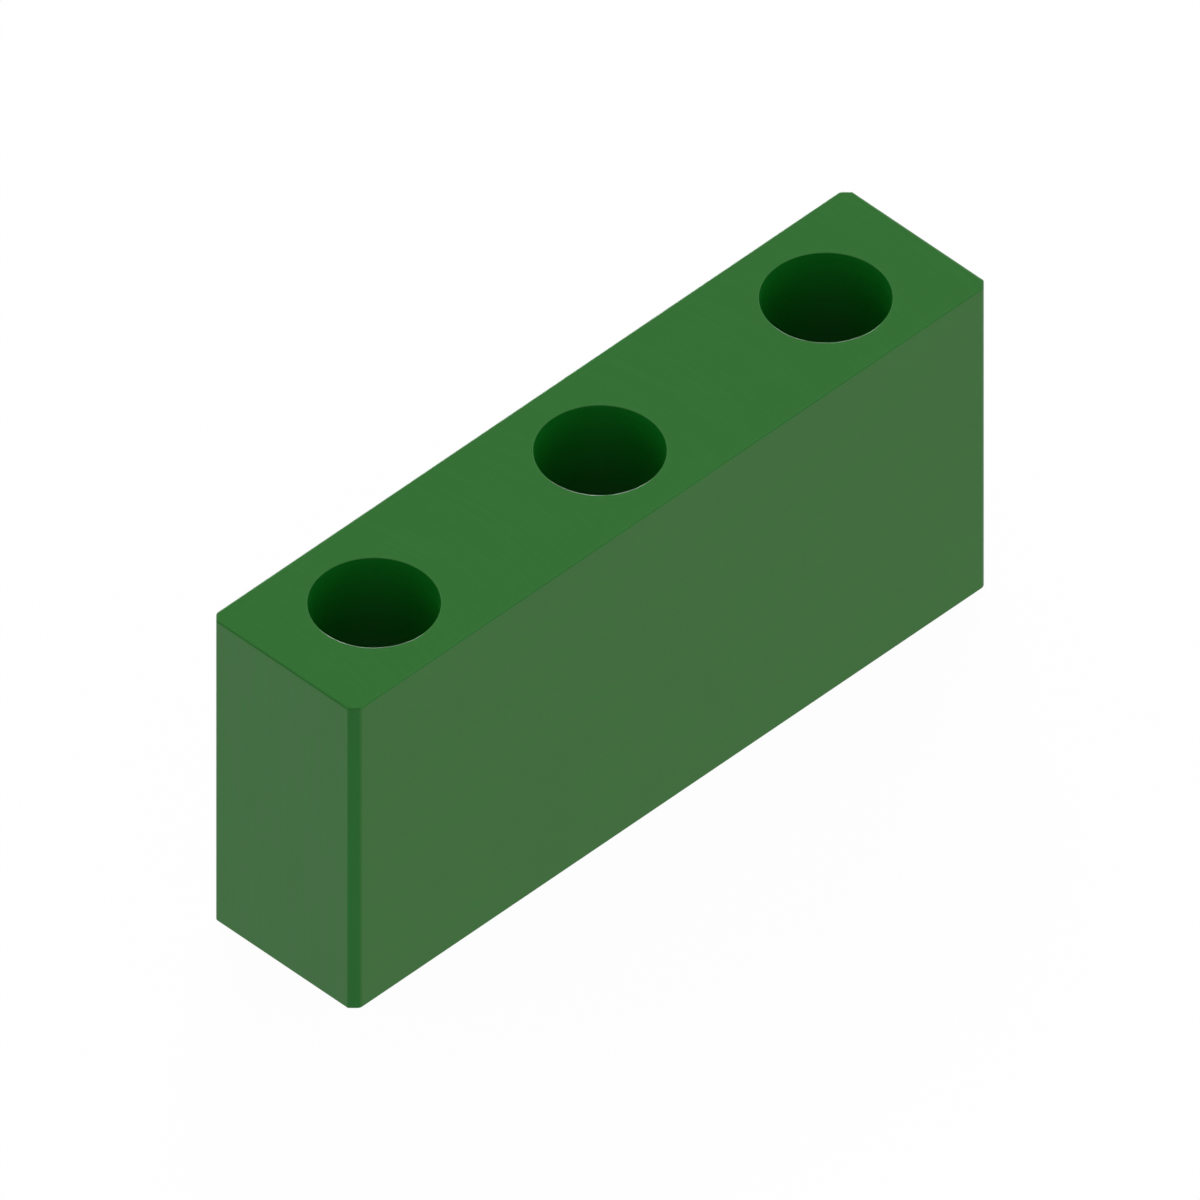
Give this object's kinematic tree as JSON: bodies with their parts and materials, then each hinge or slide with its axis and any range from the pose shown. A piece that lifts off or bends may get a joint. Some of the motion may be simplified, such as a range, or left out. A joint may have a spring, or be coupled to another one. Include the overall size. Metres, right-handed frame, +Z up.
{
  "type": "spacer",
  "caption": "Tall narrow spacer block with a row of plain bolt holes down its height and chamfered upright corners.",
  "frame": {"origin": "centre of the foot, on the axis of the middle hole", "axes": "+X along the row of holes, +Y across the row, +Z up the holes"},
  "size_m": [0.1, 0.0226, 0.045],
  "materials": {
    "green_nylon": "satin"
  },
  "bodies": {
    "root": {"spacer_block": "green_nylon"}
  },
  "joints": []
}
